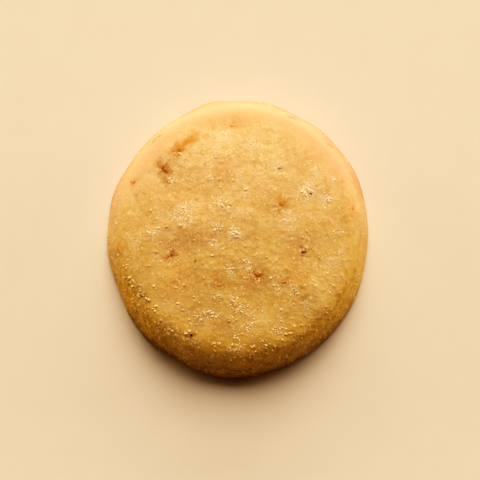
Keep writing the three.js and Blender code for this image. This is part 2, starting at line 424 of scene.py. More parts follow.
# %% Dabs of colour, as lists
ORANGE, AMBER, RUST, BROWN = "#e19346", "#d39857", "#b3763e", "#966533"
PINK, OLIVE = "#e09968", "#90793e"
SPOTS = [  # x, y, length, width, turn, strength, colour
    (-11.9, 16.2, 3.8, 2.6, 45, 1, "#c07a1c"), (-9.8, 17.9, 4.4, 2.4, 38, 0.95, "#cf8c30"),
    (-8.2, 19.2, 2.6, 1.6, 30, 0.5, ORANGE), (-14.6, 12.3, 3.8, 2.3, -50, 1, "#a0621c"),
    (-15.4, 14.3, 1.8, 1.2, 0, 0.35, OLIVE), (-13.8, 9.7, 2.6, 1.9, -30, 0.85, "#b47c3e"),
    (-12.5, 7.9, 2.8, 2, -30, 0.5, "#c8945e"), (-20.6, 9.8, 1.6, 1.2, 60, 1, "#c27624"),
    (-19.9, 6.9, 0.6, 0.6, 0, 0.6, BROWN), (8.6, 5.1, 3, 2.1, 40, 1, "#c88c3a"),
    (8, 3.7, 1.8, 1.3, 60, 0.6, AMBER), (7.2, 2.5, 1.9, 1.2, 0, 0.5, AMBER),
    (3.9, -9.3, 3.4, 2.5, -20, 1, "#b87324"), (5, -9.2, 1.1, 0.9, 0, 1, "#9a5618"),
    (9.1, -10.5, 3.2, 1.6, 0, 0.75, "#cc8a34"), (-3.6, -10.4, 2.4, 3.8, 0, 0.65, "#bc8a3e"),
    (-12.9, -5.2, 2.1, 1.4, 15, 1, "#98591f"), (-14, -5.7, 1.5, 1, 0, 0.6, RUST),
    (12.8, -4.6, 1.3, 1.2, 0, 1, "#7d502b"), (12.8, -3.9, 0.7, 0.9, 0, 0.9, "#8a582b"),
    (-9.1, -21, 2.3, 1.6, -20, 1, "#6a2c18"), (-8.6, -21.1, 0.9, 0.8, 0, 1, "#622111"),
    (22.9, 4.8, 1, 2, 10, 0.6, "#e6a072"), (21, 2.4, 1.1, 0.9, 0, 0.6, "#af863e"),
    (14.4, 7.1, 1.1, 1, 0, 0.9, "#a0662c"), (8.4, 12.2, 1.6, 0.8, 0, 0.8, "#9b8250"),
    (-8.3, -6.5, 0.45, 0.45, 0, 1, "#625826"), (-20.1, -11.8, 2.6, 1.4, -30, 0.95, "#85702f"),
    (-18, -13.4, 2.4, 1.3, -25, 0.9, "#845f2a"), (-20.4, -15.7, 2.4, 1.2, -55, 0.8, "#7b5c2b"),
    (-3, 11.6, 3.8, 2.6, 20, 0.5, "#eba46b"), (-5.1, 10.4, 1.4, 1.1, 0, 0.8, "#de9d5b"),
    (-6.6, 12.7, 0.8, 0.7, 0, 0.6, "#ca8a54"), (-1, 21.2, 2.8, 1.3, 10, 0.7, "#da9459"),
    (-5.6, 22.3, 1.4, 1, 0, 0.5, "#da985b"), (-14.3, 18.9, 1.5, 1.2, 0, 0.45, "#e6a45e"),
    (10.6, 21.6, 1.1, 0.9, 0, 0.5, "#e09d57"), (2.2, 6.4, 1.8, 1.2, 0, 0.4, PINK),
    (11.6, 15.8, 2.2, 1.6, 0, 0.35, "#e6a668"), (14.8, 14.2, 3.6, 3.2, 0, 0.35, "#eaa775"),
    (20.8, 9.9, 1.7, 0.8, 0, 0.7, "#da9357"), (23.7, 10.2, 1, 4.4, 12, 0.55, "#da975b"),
    (-1.6, -18.2, 1.6, 1.2, 30, 0.75, "#c6823e"), (-7.9, -18.9, 2.6, 2, 0, 0.6, "#c28a57"),
    (-17.2, -5.4, 0.6, 0.6, 0, 0.7, ORANGE), (-16.9, -7.8, 1.8, 1, 20, 0.45, AMBER),
    (-7.4, -2.8, 3, 1.6, 0, 0.4, "#d19950"), (-23.4, -3.8, 3.2, 2.6, 20, 0.55, "#ca8f49"),
    (-24.3, 1.2, 2, 2.6, 0, 0.45, "#da9d57"), (18.5, 1.2, 2.4, 2, 0, 0.4, "#e09f68"),
    (13, -13.4, 1.3, 1, 0, 0.8, "#b48620"), (10.3, -20.2, 1.8, 1.4, 0, 0.7, "#b37f42"),
    (12.8, -19.9, 0.6, 0.6, 0, 0.8, BROWN), (10.9, -22.4, 1, 0.8, 0, 0.8, "#855c2f"),
    (8.1, -23.7, 1.5, 1.1, 0, 0.7, "#966c35"), (20, -14.3, 0.8, 0.6, 0, 0.7, "#8c652f"),
    (22.8, -8.8, 1.8, 4.6, 10, 0.35, "#b78642"), (19.6, -17, 2.4, 3.4, 40, 0.2, "#b4873b"),
    (-14.4, -20.2, 1, 0.8, 0, 0.6, "#916937"), (-4.3, -23.6, 1, 0.8, 0, 0.6, "#966f42"),
    (-18.6, -17, 2.6, 2, -40, 0.5, "#a37f33"), (7.6, -6, 2.6, 1.2, 0, 0.3, AMBER),
    (-16.6, 19.2, 3, 0.9, 42, 1, "#6a4416"), (11, 23.7, 2.8, 0.9, -27, 1, "#6a4416"),
    (18.6, 18.2, 2.6, 0.9, -50, 1, "#6a4416"), (24, 13.4, 2.2, 1.2, -64, 0.5, "#c98444"),
]
FLOUR = [  # x, y, length, width, turn, strength: pale floury patches and strings
    (-11, 2.6, 6, 1.8, -6, 0.7), (-8.2, 4.8, 4.6, 1.6, 12, 0.5), (0.6, 3.1, 6.4, 1.6, 4, 0.6),
    (-0.6, -1.3, 2, 1.6, 0, 0.95), (-4.4, -3.2, 3.2, 1.6, -35, 0.6), (-4.1, -13.2, 2.4, 1.4, 0, 0.6),
    (-1.8, -8.6, 3, 1.6, 10, 0.5), (2.6, -7.6, 3.6, 2, 0, 0.5), (7.6, -11.6, 4, 1.8, -30, 0.5),
    (11.4, -12.4, 2.6, 1.2, 50, 0.5), (13.3, -15.4, 1.4, 2.4, 10, 0.7), (15.4, -10.2, 3.4, 1.8, 0, 0.6),
    (17.6, -6.8, 3, 2, 20, 0.45), (16.8, -16.2, 2.6, 1.6, 0, 0.2), (3.6, -17.4, 6.5, 3.4, 0, 0.5),
    (-6, -16.8, 4, 2, 0, 0.55), (-13.2, -15.4, 5.5, 3.4, -10, 0.4), (-7.6, -20, 3.2, 2.4, 0, 0.35),
    (-2.4, 18.6, 7.5, 2.6, -4, 0.55), (-4.6, 15.8, 4, 1.8, -20, 0.5), (-10.6, 13.2, 3, 1.2, 0, 0.55),
    (2.2, 17.4, 2.6, 1.6, 0, 0.6), (-12.9, 9.9, 1.4, 1, 0, 0.6), (13.4, 8, 2.2, 1.6, 0, 0.6),
    (17.2, 6, 2, 1.6, 0, 0.5), (15.2, 11.8, 2.6, 1.4, 0, 0.4), (9.9, 1.8, 4.2, 2.4, 0, 0.45),
    (7.8, 12.8, 2.4, 1.2, 0, 0.35), (5, 9, 6, 4, 0, 0.25), (-20.6, -10.8, 3.2, 1.8, 10, 0.35),
    (0.4, -23, 3, 1.4, 0, 0.25), (8, -19.6, 2.6, 3.2, 0, 0.4), (-16.8, -1, 2.4, 1.2, 0, 0.4),
]
SHADES = [  # x, y, length, width, turn, strength: patches baked a little deeper
    (-12.6, 10, 8, 5, -20, 0.35), (-8, -1.6, 9, 3.4, -6, 0.4), (-12.6, -4, 6, 4, 0, 0.3),
    (8.4, 4.4, 5, 3.6, 20, 0.4), (4.4, -1.2, 8, 3.4, 0, 0.25), (12.8, -4, 6, 4.4, 0, 0.3),
    (3.8, -11, 8, 3.2, 0, 0.3), (-4.4, -10.4, 5, 4.6, 0, 0.35), (-4, 10, 7, 3.4, 0, 0.35),
    (14, 12.6, 7, 4, -20, 0.2), (-19.8, -14.8, 5, 3, -50, 0.3), (-14, 12.4, 6, 4, -40, 0.3),
    (-17.4, 2.8, 4, 3, 0, 0.2), (-9, -8.4, 6, 4, 0, 0.2), (-1, 22.4, 9, 3, 0, 0.25),
    (-10, 9, 13, 9, -30, 0.32), (10, 9, 12, 9, 20, 0.28), (15, -1, 10, 12, 0, 0.18),
    (0, 4, 12, 7, 0, 0.18),
]
print("dabs:", len(SPOTS), "of colour,", len(FLOUR), "of flour and", len(SHADES), "deeper ones")

# %% The dabs, painted as attributes
RAGGED = 0.28
WAVES_X = [(0.7, 2.3, 0.0, 1.0), (5.1, 3.3, 1.0, 0.6)]  # turns along x, along y, shift, height
WAVES_Y = [(2.6, -0.9, 2.0, 1.0), (-3.9, 4.7, 0.0, 0.6)]
DAB_FADE, DAB_PLATEAU = 1.1, 1.3
FOOT_FREE = (2.8, 4.4)


def wander(x, y, waves):
    """A few crossing waves, which draw the edge of a dab in and out."""
    return RAGGED * sum(high * np.sin(along * x + across * y + shift) for along, across, shift, high in waves)


def dab(x, y, place_x, place_y, length, width, turn):
    """How strongly one dab lies on each vertex: 1 in its middle, fading past its edge."""
    cos, sin = math.cos(math.radians(turn)), math.sin(math.radians(turn))
    along = (x - place_x) * cos + (y - place_y) * sin
    across = (y - place_y) * cos - (x - place_x) * sin
    return np.exp(-DAB_FADE * ((2 * along / length) ** 2 + (2 * across / width) ** 2) ** DAB_PLATEAU)


x, y, z = places(dough)
ragged_x, ragged_y = x + wander(x, y, WAVES_X), y + wander(x, y, WAVES_Y)
spot, tints = np.zeros(len(x)), np.ones((len(x), 4))
for *where, strength, code in SPOTS:
    amount = strength * dab(ragged_x, ragged_y, *where)
    stronger = amount > spot
    spot[stronger] = amount[stronger]
    tints[stronger] = colour(code)
stained = spot * ease(z, *FOOT_FREE)
write_values(dough, "spot", stained)
spot_tint = dough.data.attributes.new("spot_tint", "FLOAT_COLOR", "POINT")
spot_tint.data.foreach_set("color", tints.astype(np.float32).ravel())


def strongest(dabs):
    total = np.zeros(len(x))
    for *where, strength in dabs:
        total = np.maximum(total, strength * dab(ragged_x, ragged_y, *where))
    return total


write_values(dough, "flour", strongest(FLOUR))
write_values(dough, "shade", strongest(SHADES))
print("stained by fruit:", int((stained > 0.5).sum()), "of", len(x), "vertices")


# %% [markdown]
# The crust also changes from side to side. The far rim baked smooth and pale, the top is sandy, and the near
# side is golden, dusty with sugar, and browner towards its front and its foot. Part of this is painted light:
# the far half is laid paler and the near half deeper, the near shoulder lighter where it turns from the
# lamps, and the near wall lighter and warmer at its top and darker at its front, as in its shade. Each zone
# is painted as a product of the same soft steps as the relief, so that the material only has to name it.

# %% Zones of the crust
out_share = np.hypot(x / WIDTH, y / LENGTH) * 2
high_up = ease(z, *HIGH_UP)
on_shoulder = ease(out_share, 0.68, 0.8) * (1 - ease(out_share, 0.87, 0.95)) * high_up
ridge = on_shoulder * ease(0.2 * np.maximum(x, 0) - y, 9, 21)
zones = {
    "near": ease(-y, -4, 12),
    "front": ease(-y, 10, 24),
    "right_side": ease(x, 4, 14) * ease(-y, 0, 8) * ease(out_share, 0.64, 0.76),
    "far": ease(y, 2, 12),
    "far_middle": ease(y, 2, 12) * (1 - 0.5 * ease(-x, 5, 14)),
    "side_rim": ease(out_share, 0.84, 0.96) * (1 - ease(-y, 4, 16)),
    # The shoulder of the near side, where the most sugar stuck. Its colour is also laid lighter there,
    # as painted light where the shoulder turns from the lamps.
    "ridge": ridge,
    # How smooth the far rim baked, and how sandy and how speckled the rest stayed.
    "smooth": ease(out_share, 0.72, 0.9) * ease(y, 3, 16) * (0.35 + 0.65 * high_up),
    "sandy": 1 - 0.65 * ease(out_share, 0.4, 0.85) * ease(y, -2, 18) * high_up,
    "grainy": 1 - 0.85 * ease(out_share, 0.72, 0.86) * ease(y, -2, 14) * (0.7 + 0.3 * high_up),
}
for name, values in zones.items():
    write_values(dough, name, values)
print("zones:", ", ".join(zones))


# %% [markdown]
# Shortbread crust: flour and butter, baked dry and matte. Its colour is the eye's first cue, a pale gold
# that goes towards brown where it was hottest, at the foot and on the underside. Each line lays one more
# colour over the tone so far, like a thin glaze, by noise, by a painted dab or zone, or by height. A little
# light goes into the crumb, so a trace of subsurface softens it, and a fine bump carries the grit that is
# too small for the mesh.

# %% Colours of the crust
# The dough, from pale to deep.
CREAM = colour("#f0d9af")
BLOND = colour("#eccfa4")
GOLD = colour("#e0bb7c")
HONEY = colour("#d2a560")
BLUSH = colour("#e2a672")
MUSTARD = colour("#c09944")
OCHRE = colour("#bf914c")

# The far side and the rim.
RIM = colour("#eac6a0")
PEACH = colour("#d9a681")
TANNED = colour("#cc8a68")

# The near side, from the top to the foot.
BUTTER = colour("#e0b850")
# Lighter on the near shoulder: sugar, and painted light where the shoulder turns from the lamps.
RIDGE_AND_PAINTED_LIGHT = colour("#fad578")
# Browned amber, and painted as the near wall looks in its shade: lighter and warmer.
AMBER_IN_SHADE = colour("#f9ca38")
FLAXEN = colour("#f4cc5c")
SHADED_FRONT_GOLD = colour("#c49a22")
BROWNED = colour("#b27a2a")
TOAST = colour("#a06e27")
BURNT = colour("#7a5424")

# Sugar on it, in the light and in the shade.
FROST = colour("#f9e6c8")
STRAW = colour("#f6d8a6")
FROST_IN_SHADE = colour("#f4d886")
GRAIN_IN_SHADE = colour("#f2cb78")


# %% Helpers for mixing a material
def new_material(name, values):
    """A material with one surface, whose sockets get these values."""
    material = bpy.data.materials.new(name)
    material.use_nodes = True
    tree = material.node_tree
    tree.nodes.clear()
    surface = add(tree, "ShaderNodeBsdfPrincipled", values=values)
    add(tree, "ShaderNodeOutputMaterial", {"Surface": surface.outputs[0]})
    return material, tree, surface


def blend_in(tree, amount, below, above):
    """Lays one colour over another by an amount from 0 to 1."""
    node = add(tree, "ShaderNodeMix", data_type="RGBA", clamp_factor=True)
    for socket, value in zip((node.inputs[0], node.inputs[6], node.inputs[7]), (amount, below, above)):
        if isinstance(value, (tuple, int, float)):
            socket.default_value = value
        else:
            tree.links.new(value, socket)
    return node.outputs[2]


def spread(tree, value, low, high, to_low=0.0, to_high=1.0):
    """Stretches low..high to to_low..to_high and stops there."""
    values = {"From Min": low, "From Max": high, "To Min": to_low, "To Max": to_high}
    node = add(tree, "ShaderNodeMapRange", {"Value": value}, values, interpolation_type="SMOOTHSTEP")
    return node.outputs[0]


def painted(tree, name, output="Fac"):
    return add(tree, "ShaderNodeAttribute", attribute_name=name).outputs[output]


def times(tree, first, second):
    return math_node(tree, "MULTIPLY", first, second)


def cover(tree, tone, over, *amounts):
    """Lays a colour over the tone by the product of these amounts. A word is a painted zone."""
    share, *others = (painted(tree, amount) if isinstance(amount, str) else amount for amount in amounts)
    for other in others:
        share = times(tree, share, other)
    return blend_in(tree, share, tone, over)


def lower_down(tree, height, start, full, most=1.0):
    """Nothing above the first height, in millimetres, and the most below the second."""
    return spread(tree, height, start * MM, full * MM, 0, most)


# %% The tone of the top
CRUST = {
    "Roughness": 0.75, "Specular IOR Level": 0.05, "Subsurface Weight": 0.2,
    "Subsurface Radius": (1.0, 0.6, 0.2), "Subsurface Scale": 1.2 * MM,
}

crust, tree, surface = new_material("baked shortbread crust", CRUST)
place = add(tree, "ShaderNodeTexCoord").outputs["Object"]
broad = noise(tree, place, 6.0, 3.0)
blotch = noise(tree, place, 2.0, 3.0, 0.6)
grit = noise(tree, place, 0.55, 3.0, 0.65)
fine = noise(tree, place, 0.24, 2.0, 0.6)

tone = cover(tree, GOLD, HONEY, spread(tree, broad, 0.40, 0.66, 0, 0.55))
tone = cover(tree, tone, CREAM, spread(tree, blotch, 0.45, 0.72, 0, 0.4))
# Painted light in part: the far half is laid paler and the near half deeper, as light from beyond the far
# edge leaves a domed top.
for zone, share, over in (("near", 0.35, BUTTER), ("ridge", 0.6, RIDGE_AND_PAINTED_LIGHT), ("far", 0.35, BLOND)):
    tone = cover(tree, tone, over, zone, share)
tone = cover(tree, tone, BLUSH, spread(tree, noise(tree, place, 7.0, 2.0), 0.5, 0.68, 0, 0.2))
tone = cover(tree, tone, OCHRE, "shade", spread(tree, blotch, 0.25, 0.6, 0.6, 1.2))
tone = cover(tree, tone, PEACH, "smooth", 0.8)
tint = painted(tree, "spot_tint", "Color")
tone = cover(tree, tone, tint, "spot", spread(tree, grit, 0.3, 0.6, 0.65, 1.15))
tone = cover(tree, tone, CREAM, "flour", spread(tree, grit, 0.38, 0.58, 0.1, 1.0))
mottled = spread(tree, noise(tree, place, 1.3, 3.0, 0.6), 0.50, 0.66, 0, 0.4)
tone = cover(tree, tone, MUSTARD, mottled, "grainy")
tone = cover(tree, tone, CREAM, spread(tree, fine, 0.54, 0.68, 0, 0.4), "sandy")
tone = cover(tree, tone, OCHRE, spread(tree, fine, 0.46, 0.32, 0, 0.32), "sandy")
print("tone of the top:", len(tree.nodes), "nodes")

# %% Browned down the wall and at the foot, with painted shade on the near wall
up = add(tree, "ShaderNodeSeparateXYZ", {"Vector": place}).outputs["Z"]
uneven_up = math_node(tree, "ADD", up, times(tree, blotch, 2.0 * MM))
# Painted shade in part: the near wall is browned amber, and laid lighter and warmer as it looks in its own
# shade.
tone = cover(tree, tone, AMBER_IN_SHADE, "near", lower_down(tree, uneven_up, 9.6, 7.0, 0.85))
# Painted shade in part: the front of the near wall is laid a darker gold, where it lies in shade.
tone = cover(tree, tone, SHADED_FRONT_GOLD, "front", lower_down(tree, uneven_up, 7.6, 5.0, 0.75))
tone = cover(tree, tone, RIM, "side_rim", 0.3)
tone = cover(tree, tone, STRAW, "right_side", 0.23)
tone = cover(tree, tone, PEACH, "far_middle", "smooth", 0.22)
tone = cover(tree, tone, TANNED, "far_middle", lower_down(tree, uneven_up, 8.0, 4.4, 0.55))
wall = times(tree, painted(tree, "near"), lower_down(tree, up, 8.6, 7.0))
patches = noise(tree, place, 1.5, 3.0, 0.65)
tone = cover(tree, tone, BROWNED, wall, spread(tree, patches, 0.50, 0.62, 0, 0.4))
tone = cover(tree, tone, FLAXEN, wall, spread(tree, patches, 0.50, 0.38, 0, 0.45))

near, front, far = (painted(tree, zone) for zone in ("near", "front", "far"))
# Toasted most at the front of the near wall: partly browning, partly painted shade there.
toasted = math_node(tree, "ADD", times(tree, near, 0.25), times(tree, front, 0.75))
toasted = math_node(tree, "MAXIMUM", toasted, times(tree, far, 0.5))
toasted = times(tree, toasted, lower_down(tree, uneven_up, 4.6, 1.6, 0.7))
tone = blend_in(tree, toasted, tone, TOAST)
burnt = times(tree, toasted, lower_down(tree, uneven_up, 1.9, 1.0))
burnt = math_node(tree, "MAXIMUM", burnt, lower_down(tree, up, 0.5, 0.0, 0.6))
tone = blend_in(tree, burnt, tone, BURNT)
print("with its browning:", len(tree.nodes), "nodes")

# %% Sugar caked on it, and its surface
speck = noise(tree, place, 0.4, 2.0, 0.6)
caked = times(tree, painted(tree, "frost"), spread(tree, speck, 0.47, 0.58))
strung = spread(tree, noise(tree, place, 2.3, 3.0, 0.6), 0.47, 0.60)
strings = times(tree, times(tree, strung, spread(tree, speck, 0.54, 0.60)), painted(tree, "grainy"))
strings = times(tree, strings, 0.75)
tone = blend_in(tree, strings, tone, STRAW)
# Painted shade: on the near side the caked sugar takes the warmer colour that it shows in shade.
tone = blend_in(tree, caked, tone, blend_in(tree, painted(tree, "near"), FROST, FROST_IN_SHADE))
# Painted shade: the front of the near shoulder goes over to the same warm amber that it shows in shade.
tone = cover(tree, tone, AMBER_IN_SHADE, "ridge", "front", 0.4)
frost = math_node(tree, "MAXIMUM", caked, strings)

tree.links.new(tone, surface.inputs["Base Color"])
rough_skin = math_node(tree, "ADD", grit, times(tree, fine, 0.8))
rough_skin = math_node(tree, "ADD", rough_skin, times(tree, frost, 0.5))
bump = add(tree, "ShaderNodeBump", {"Height": rough_skin}, {"Strength": 0.3, "Distance": 0.12 * MM})
tree.links.new(bump.outputs[0], surface.inputs["Normal"])
dough.data.materials.append(crust)
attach(dough, "root")
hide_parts("biscuit")
print("whole crust:", len(tree.nodes), "nodes")


# %% [markdown]
# The bits of dried apricot were chopped into the dough. Only their tops show, torn and uneven, with dough
# baked on at their edges. Each starts as a ball of small faces, is pressed flat, turned and roughened, and
# sinks into the dough until little of it stands proud. How far each vertex stands above the dough is
# stored, so that the material can go over into the stained dough at the edge.

# %% Bits of apricot, as a list
BITS = [  # x, y, length, width, turn, colour
    (-11.8, 16.2, 2.6, 1.7, 45, "#c4841e"), (-9.8, 17.9, 3, 1.5, 38, "#d0962e"),
    (-14.6, 12.2, 3, 1.4, -50, "#9a5c12"), (-13.8, 9.7, 1.5, 1.1, 0, "#ad762e"),
    (8.6, 5.2, 2.2, 1.7, 25, "#c88c30"), (8, 3.7, 1.5, 1.1, 60, "#dcae6a"),
    (3.9, -9.3, 2.5, 1.9, -20, "#b47418"), (9.1, -10.5, 2, 1, 0, "#cc9444"),
    (-3.7, -11.2, 1.5, 1.3, 70, "#cda052"), (-12.9, -5.2, 1.7, 1.3, 15, "#9b692d"),
    (-9.1, -21, 2, 1.5, -30, "#6e1e0a"), (-18.7, -13, 2.2, 1, -27, "#a8904c"),
    (-20.6, 9.8, 1.1, 0.9, 40, "#c2801e"), (12.8, -4.6, 1.3, 1.1, 10, "#8a3e10"),
    (14.4, 7.1, 0.9, 0.8, 0, "#9a5a24"), (8.4, 12.2, 1.4, 0.7, 5, "#947a4b"),
    (-20.4, -15.7, 1.6, 0.8, -55, "#86652e"), (-8.3, -6.5, 0.6, 0.5, 0, "#595224"),
    (22.9, 4.8, 1.7, 0.9, 80, "#da9668"), (-1, 21.2, 2, 0.9, 10, "#dca868"),
    (10.9, -22.4, 1, 0.8, 20, "#a87838"), (-1.6, -18.2, 1.2, 0.9, 30, "#cf9c54"),
]
print("bits of apricot:", len(BITS))

# %% Helpers for setting small things down on the dough
FROM_ABOVE = 20

skin = BVHTree.FromObject(dough, bpy.context.evaluated_depsgraph_get())


def surface_at(x, y):
    """Where the dough lies under a point of the plane, in metres, and how it faces there."""
    hit, normal, _, _ = skin.ray_cast(Vector((x, y, FROM_ABOVE)) * MM, Vector((0, 0, -1)))
    return hit, normal


def join(parts, name):
    """Joins copies into one piece."""
    only(parts[0])
    for part in parts:
        part.select_set(True)
    bpy.ops.object.join()
    piece = active()
    piece.name = name
    piece.data.name = name
    return piece


def sink(piece, x, y, turn, lift):
    """Sets a shape made at the origin down on the dough, and puts its place into its mesh."""
    hit, normal = surface_at(x, y)
    upright = Vector((0, 0, 1)).rotation_difference(normal).to_matrix().to_4x4()
    piece.rotation_euler = (0, 0, turn)
    only(piece)
    bpy.ops.object.transform_apply(location=False)
    piece.data.transform(upright)
    piece.location = hit + normal * lift * MM
    bpy.ops.object.transform_apply()


# %% The bits, torn and sunk in
BIT_THICK = 0.9
BIT_PROUD = 0.07
BIT_ROUGH = 0.24
BIT_APART = 3

torn = bpy.data.textures.new("torn", "CLOUDS")
torn.noise_scale = 0.7 * MM
torn.noise_depth = 3

bits = []
for number, (x, y, length, width, turn, code) in enumerate(BITS):
    # Each ball is roughened at another place, so that no two are torn alike.
    apart = (number * BIT_APART * MM, 0, 0)
    bpy.ops.mesh.primitive_ico_sphere_add(subdivisions=4, radius=0.5 * MM, location=apart)
    bit = active()
    bit.scale = (length, width, BIT_THICK)
    bpy.ops.object.transform_apply(location=False)
    finish_with(bit, "DISPLACE", texture=torn, texture_coords="GLOBAL", strength=BIT_ROUGH * MM)
    sink(bit, x, y, math.radians(turn), BIT_PROUD - BIT_THICK / 2)
    tint = bit.data.attributes.new("tint", "FLOAT_COLOR", "POINT")
    tint.data.foreach_set("color", list(colour(code)) * len(bit.data.vertices))
    bpy.ops.object.shade_smooth()
    bits.append(bit)
fruit = join(bits, "apricot_bits")
x, y, z = places(fruit)
above = [z[i] - surface_at(x[i], y[i])[0].z / MM for i in range(len(x))]
write_values(fruit, "proud", above)
print("they stand up to", round(max(above), 2), "mm proud")

# %% Dried apricot, baked: sticky, half see-through, darker in its creases
CREASE = colour("#8f5a1e")
BIT_EDGE = 0.035
FRUIT = {
    "Roughness": 0.5, "Specular IOR Level": 0.08, "Subsurface Weight": 0.06,
    "Subsurface Radius": (1.0, 0.45, 0.15), "Subsurface Scale": 0.6 * MM,
}

apricot, tree, surface = new_material("baked dried apricot", FRUIT)
place = add(tree, "ShaderNodeTexCoord").outputs["Object"]
fibre = noise(tree, place, 0.45, 3.0, 0.6)
tint = painted(tree, "tint", "Color")
tone = blend_in(tree, spread(tree, fibre, 0.5, 0.68, 0, 0.5), tint, CREASE)
edge = spread(tree, painted(tree, "proud"), 0.0, BIT_EDGE, 1, 0)
flecks = spread(tree, noise(tree, place, 0.8), 0.5, 0.65, 0, 0.35)
doughy = math_node(tree, "ADD", edge, flecks, clamp=True)
tone = blend_in(tree, doughy, tone, blend_in(tree, 0.45, tint, GOLD))
tree.links.new(tone, surface.inputs["Base Color"])
bump = add(tree, "ShaderNodeBump", {"Height": fibre}, {"Strength": 0.6, "Distance": 0.1 * MM})
tree.links.new(bump.outputs[0], surface.inputs["Normal"])
fruit.data.materials.append(apricot)
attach(fruit, "root")
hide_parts("biscuit")
print("apricot:", len(tree.nodes), "nodes")


# %% [markdown]
# Damp sugar and grated hard cheese cake together before they go into the oven, so the grains lie in clumps
# and short strings with bare dough between them. The clumps are listed here like the dabs of colour,
# because both the coarse crystals and the fine grains depend on them.

# %% Clumps of grains
CLUMPS = [  # x, y, radius, strength
    (-12.8, 10.1, 0.6, 0.9), (-10.7, 13.1, 0.8, 0.5), (-5.5, 10.2, 0.5, 0.9), (-8.7, 10.4, 0.5, 0.4),
    (-12.5, 2.4, 1.2, 0.6), (-23.8, 2, 0.5, 0.9), (-10.4, 3.7, 1.4, 0.5), (-3, 4.9, 1.5, 0.6),
    (-2.2, 19.3, 0.9, 0.6), (-4, 16.4, 0.8, 0.5), (13.8, 7.8, 1.1, 1.7), (17.3, 5.9, 1, 0.9),
    (19.2, 10.2, 0.4, 1), (15.4, 11.7, 0.8, 0.6), (7.7, 12.7, 1, 0.6), (1.6, 7.7, 0.4, 0.8),
    (1.4, 6.3, 0.7, 0.5), (2.6, 17.6, 1.3, 0.6), (-0.6, -1.3, 1, 1.8), (19.8, 0.1, 0.8, 0.7),
    (11.4, 6.6, 0.8, 0.5), (10.1, 1.5, 1.4, 0.6), (7.6, 3.7, 0.8, 0.6), (-16.8, -0.9, 0.9, 0.8),
    (-10, 1.7, 1, 0.9), (-4.1, 0.3, 1.2, 0.7), (-4.9, -2.9, 0.9, 0.9), (-3.3, -3.7, 1, 0.7),
    (-1.2, -8.4, 1.2, 0.7), (-4.1, -13, 1, 0.9), (-1, -13.8, 1.2, 0.7), (-6.2, -16.5, 1, 1),
    (-4.6, -17, 0.9, 0.8), (-1, -17.8, 0.8, 0.8), (-7.7, -17.6, 1, 0.7), (-21.1, -10.6, 1.3, 0.7),
    (-24.6, -8.8, 0.8, 0.9), (-22.4, -14.2, 1.2, 0.8), (-15.1, -19, 0.9, 0.8), (-14.2, -20.2, 0.9, 0.8),
    (2.1, -7.6, 1.4, 0.8), (3.9, -10.1, 0.5, 1), (7.5, -11.1, 1.2, 0.8), (10.8, -11.6, 0.7, 0.9),
    (11.6, -12.8, 0.7, 0.8), (13.2, -15, 0.8, 1), (17, -16, 0.8, 1), (15.5, -10.2, 1.2, 0.5),
    (15.7, -8.2, 0.4, 0.8), (20.3, -4.6, 0.8, 0.7), (17.7, -6.9, 1.2, 0.6), (21.6, -11.2, 1, 0.8),
    (0.6, -15.5, 1.4, 0.7), (8, -20.4, 1.4, 0.9), (0.2, -23.2, 1.2, 1), (-1.6, -23.5, 0.8, 0.8),
    (4.1, -24.8, 0.8, 0.8), (14.7, -22.7, 0.5, 0.8), (-3.9, -22.2, 0.8, 0.9), (-5.2, -25.3, 1, 1),
    (-11, -22.6, 1, 0.8), (-8.8, -22.6, 0.7, 0.8), (2.5, -19.9, 1.8, 0.6), (-7.2, -22.8, 1.4, 0.5),
]


def clumped(x, y, wider=1.0):
    """How strongly grains are caked together at these points."""
    total = 0 * x
    for place_x, place_y, radius, strength in CLUMPS:
        away = ((x - place_x) ** 2 + (y - place_y) ** 2) / (wider * radius) ** 2
        total = np.maximum(total, strength * np.exp(-away))
    return total


print("clumps:", len(CLUMPS))


# %% [markdown]
# The coarse crystals stand where the solid's do: the same rule with the same seed draws their places, so
# the two agree. A crystal is a small block with blunt edges. One is modelled by hand, from a cube that is
# bevelled and knocked out of true, and copied with its own size and turn. Most of those that lie alone were
# rolled in with the dough and keep a skin of it, so they hardly stand out.

# %% Where coarse crystals lie
GRAINS = 156
GRAIN_SMALLEST, GRAIN_LARGEST = 0.20, 0.42
GRAIN_GAP = 1.5
DUST_THIN_Y, DUST_FULL_Y = 12, -18
DUST_THIN = 0.3
DUST_RIM_THIN, DUST_RIM_FULL = 0.8, 0.95
DUST_RIM_FADE = 0.08
SEED = 7201


def draws(seed):
    """Park and Miller's draw: the same numbers between 0 and 1 on every run."""
    state = seed
    while True:
        state = state * 48271 % 2147483647
        yield state / 2147483647


def dusting(x, y):
    """How readily grains lie at a point: most towards the near edge, none on the smooth far rim."""
    share = np.hypot(x / WIDTH, y / LENGTH) * 2
    full = ease(-y, -DUST_THIN_Y, -DUST_FULL_Y)
    limit = DUST_RIM_THIN + (DUST_RIM_FULL - DUST_RIM_THIN) * full
    return (DUST_THIN + (1 - DUST_THIN) * full) * (1 - ease(share, limit - DUST_RIM_FADE, limit))


random = draws(SEED)
scattered = []
while len(scattered) < GRAINS:
    x = (next(random) - 0.5) * WIDTH
    y = (next(random) - 0.5) * LENGTH
    keep = next(random) < dusting(x, y)
    if not keep or any(math.hypot(other[0] - x, other[1] - y) <= GRAIN_GAP for other in scattered):
        continue
    size = GRAIN_SMALLEST + (GRAIN_LARGEST - GRAIN_SMALLEST) * next(random) ** 2
    scattered.append((x, y, size, next(random) * math.pi))
print("coarse crystals:", len(scattered))

